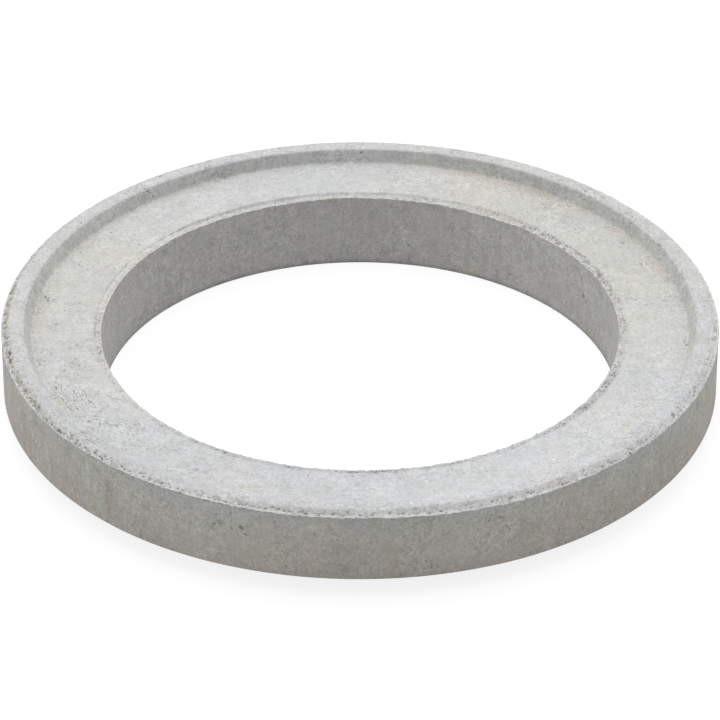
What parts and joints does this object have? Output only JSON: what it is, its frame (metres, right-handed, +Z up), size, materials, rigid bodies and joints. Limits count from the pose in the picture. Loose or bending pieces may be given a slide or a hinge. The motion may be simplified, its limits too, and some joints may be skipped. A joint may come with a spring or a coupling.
{
  "type": "concrete shaft ring",
  "caption": "Low cast concrete ring with a straight round bore, a flat seat, a raised outer rim against sliding and a stepped foot underneath.",
  "frame": {"origin": "centre of the ring at the foot's lower face", "axes": "+Z up along the bore's axis, from the foot to the rim; +X and +Y lie in the lower face, and the ring is the same all the way round"},
  "size_m": [0.865, 0.865, 0.115],
  "materials": {
    "concrete": "matt cast concrete with fine pores, coarse at the outer bevel"
  },
  "bodies": {
    "root": {"concrete_ring": "concrete"}
  },
  "joints": []
}
